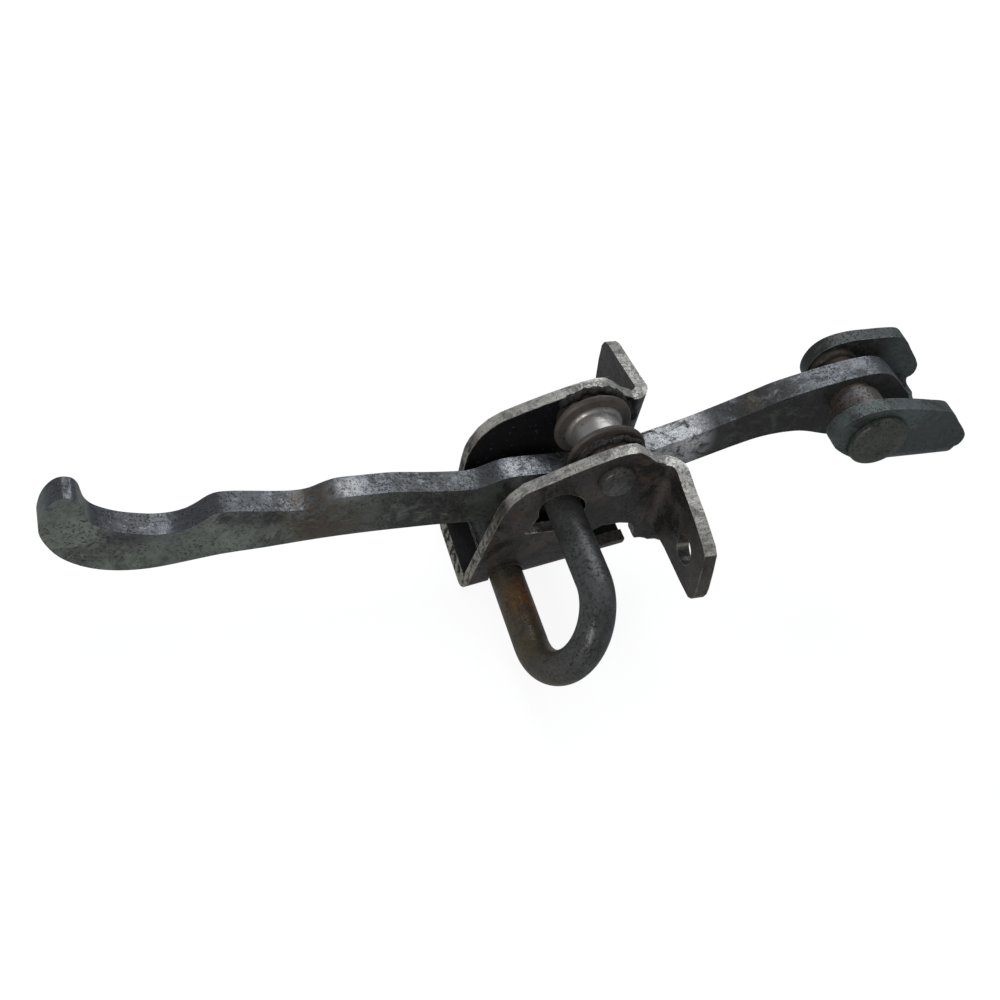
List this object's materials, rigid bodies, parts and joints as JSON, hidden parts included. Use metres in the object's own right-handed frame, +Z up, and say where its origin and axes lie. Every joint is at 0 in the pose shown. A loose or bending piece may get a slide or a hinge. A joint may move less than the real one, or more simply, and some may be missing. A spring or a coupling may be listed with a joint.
{
  "type": "vehicle door check strap",
  "caption": "Vehicle door check strap: wavy flat arm with a stop hook running under a flanged roller in a channel housing, with hairpin spring and pivoting clevis.",
  "frame": {"origin": "middle of the pair of mounting holes, on the ears' door-side face", "axes": "+X along the arm from the stop hook to the clevis, -Y towards the roller's rivet head and the hairpin loop, +Z up to the wavy edge of the arm"},
  "size_m": [0.2086, 0.0817, 0.0556],
  "materials": {
    "arm_steel": "zinc passivated, burnished on the wave edge, greasy sides",
    "bush_bronze": "dull",
    "housing_steel": "pressed steel with worn zinc, grease and dirt",
    "roller_steel": "turned and burnished",
    "rivet_steel": "riveted head, oily",
    "washer_steel": "greasy",
    "spring_steel": "dark spring steel with light rust",
    "clevis_steel": "zinc passivated, dulled",
    "pin_steel": "zinc passivated, dulled",
    "spacer_steel": "light rust"
  },
  "bodies": {
    "housing": {"housing_bracket": "housing_steel", "roller_axle": "rivet_steel", "thrust_washer_near": "washer_steel", "thrust_washer_far": "washer_steel"},
    "roller": {"roller": "roller_steel", "roller_bush": "bush_bronze"},
    "arm": {"check_arm": "arm_steel", "eye_bush": "bush_bronze"},
    "clevis": {"clevis_bracket": "clevis_steel", "pivot_pin": "pin_steel", "spacer_near": "spacer_steel", "spacer_far": "spacer_steel"},
    "hairpin": {"hairpin_spring": "spring_steel"}
  },
  "joints": [
    {"name": "arm_travel", "type": "slide", "parent": "housing", "child": "arm", "axis": [1, 0, 0], "range_m": [0, 0.104]},
    {"name": "clevis_pivot", "type": "hinge", "parent": "arm", "child": "clevis", "pos_m": [0.0444, 0.0015, 0.0192], "axis": [0, 1, 0], "range_deg": [-45, 45]},
    {"name": "roller_spin", "type": "hinge", "parent": "housing", "child": "roller", "pos_m": [-0.0163, 0.0015, 0.0091], "axis": [0, 1, 0], "continuous": true},
    {"name": "spring_flex", "type": "hinge", "parent": "housing", "child": "hairpin", "pos_m": [-0.0364, 0.0015, -0.0223], "axis": [0, -1, 0], "range_deg": [0, 3], "stiffness_Nm_per_rad": 6}
  ]
}
